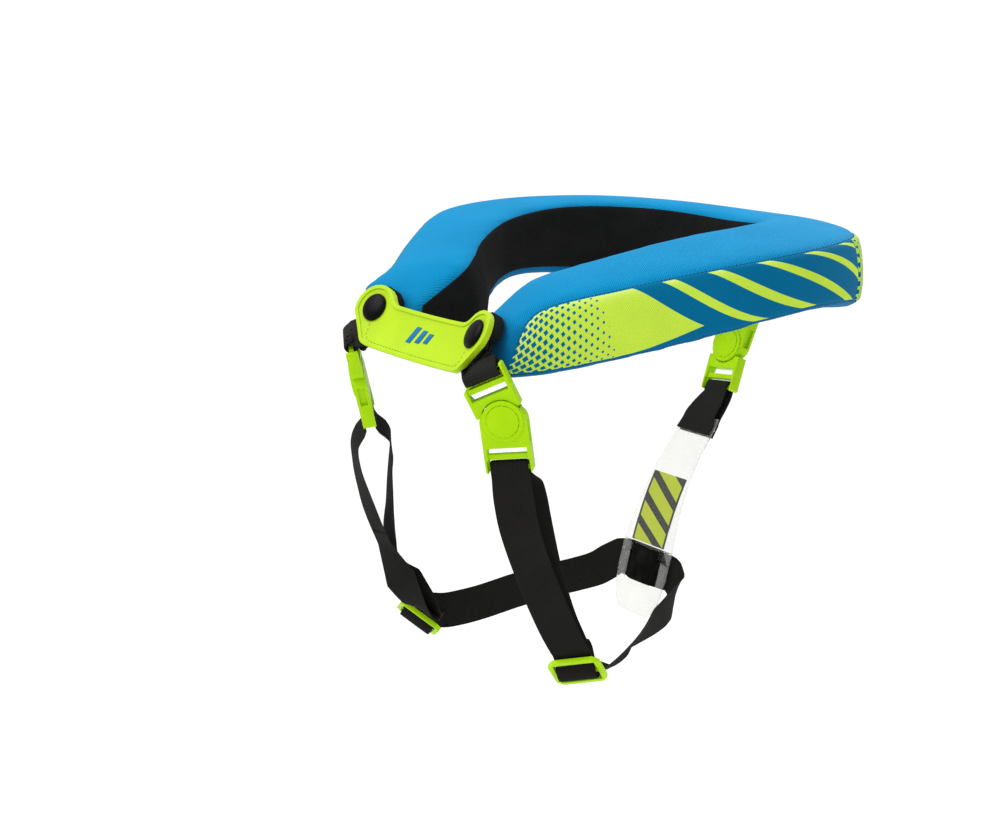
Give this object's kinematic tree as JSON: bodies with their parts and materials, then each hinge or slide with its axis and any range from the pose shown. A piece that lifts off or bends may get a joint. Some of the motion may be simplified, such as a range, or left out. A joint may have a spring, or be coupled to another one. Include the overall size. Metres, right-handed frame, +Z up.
{
  "type": "protective neck collar",
  "caption": "Padded blue and lime neck collar for motor sport, snapped shut by a lime rubber plate, with fastened buckles and a black harness strap.",
  "frame": {"origin": "on the neck axis, at the level where the underside of the collar's sides sits on the shoulders", "axes": "+X towards the wearer's left shoulder, -Y to the front plate, +Y to the rear buckle, +Z up along the neck"},
  "size_m": [0.2564, 0.2715, 0.2414],
  "materials": {
    "jersey_blue": "stretch jersey, matt",
    "lining_black": "brushed fleece",
    "print_canvas": "printed woven canvas",
    "rubber_lime": "satin moulded rubber",
    "snap_black": "satin black cap",
    "webbing_black": "ribbed webbing",
    "buckle_lime": "satin moulded plastic",
    "tab_clear": "clear soft sheet",
    "elastic_black": "soft elastic strap"
  },
  "bodies": {
    "root": {"collar_pad": "jersey_blue", "neck_lining": "lining_black", "rear_panel": "print_canvas", "side_panel_left": "print_canvas", "side_panel_right": "print_canvas", "front_plate": "rubber_lime", "snap_cap_left": "snap_black", "snap_cap_right": "snap_black", "snap_tab_left": "lining_black", "snap_tab_right": "lining_black", "hanger_loop_left": "webbing_black", "hanger_loop_right": "webbing_black", "hanger_loop_rear": "webbing_black", "buckle_plug_left": "buckle_lime", "buckle_plug_right": "buckle_lime", "buckle_plug_rear": "buckle_lime", "buckle_socket_left": "buckle_lime", "buckle_socket_right": "buckle_lime", "buckle_socket_rear": "buckle_lime", "slider_left": "buckle_lime", "slider_right": "buckle_lime", "tab_loop": "webbing_black", "back_tab": "tab_clear", "harness_strap": "elastic_black"}
  },
  "joints": []
}
